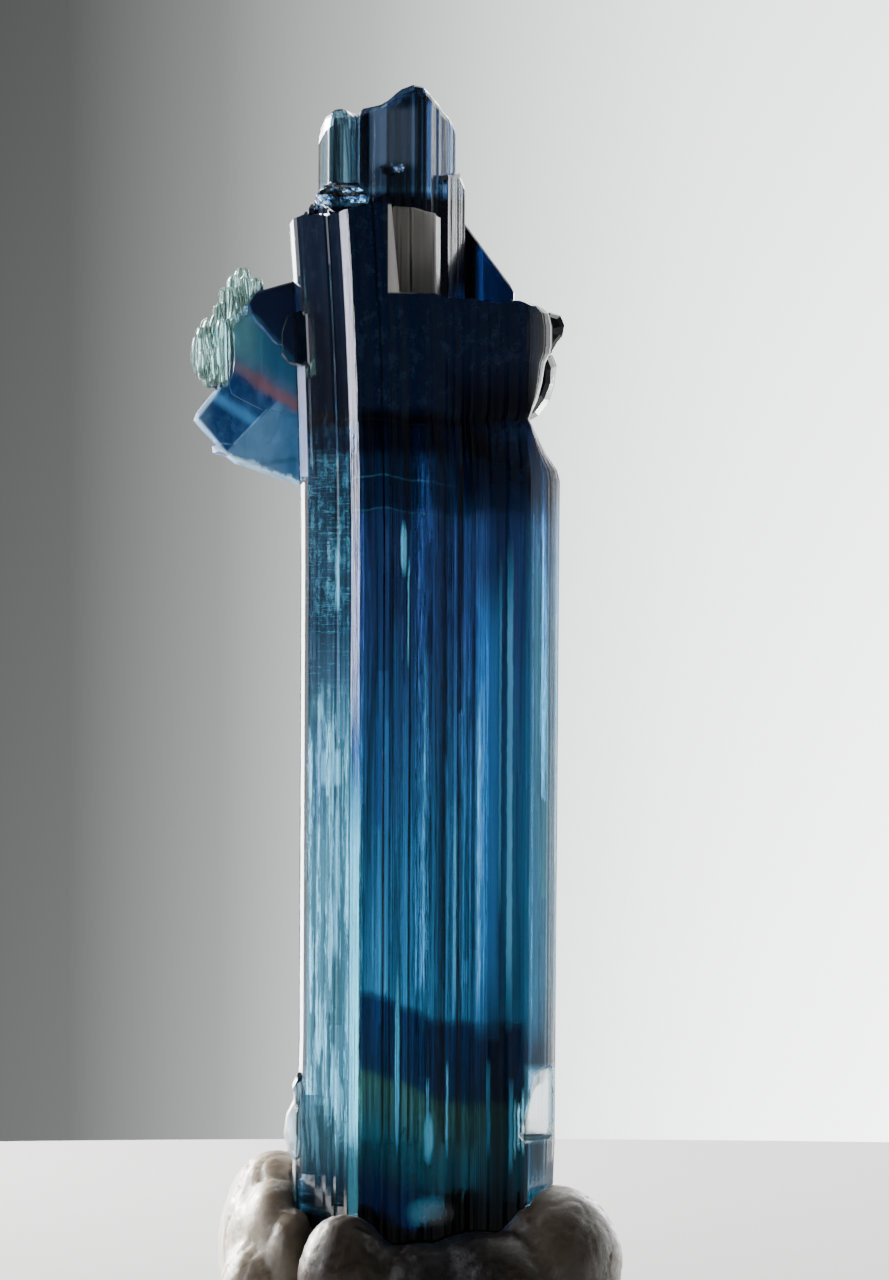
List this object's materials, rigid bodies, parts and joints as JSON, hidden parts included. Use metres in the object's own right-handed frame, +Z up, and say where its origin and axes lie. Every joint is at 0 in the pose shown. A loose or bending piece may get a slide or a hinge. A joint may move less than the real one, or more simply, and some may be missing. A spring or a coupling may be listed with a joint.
{
  "type": "tourmaline crystal specimen",
  "caption": "Slender deep blue tourmaline crystal with striated sides, a stepped top and a small side cluster, standing upright in a kneaded lump of cream putty.",
  "frame": {"origin": "middle of the flat underside of the putty, on the surface it stands on", "axes": "+Z up along the crystal, +X to the right of its wide front face, -Y towards the viewer of that face"},
  "size_m": [0.027, 0.0205, 0.0777],
  "materials": {
    "indicolite": "clear, striated, blue to blue-green",
    "putty": "waxy, kneaded"
  },
  "bodies": {
    "root": {"tourmaline_crystal": "indicolite", "mounting_putty": "putty"}
  },
  "joints": []
}
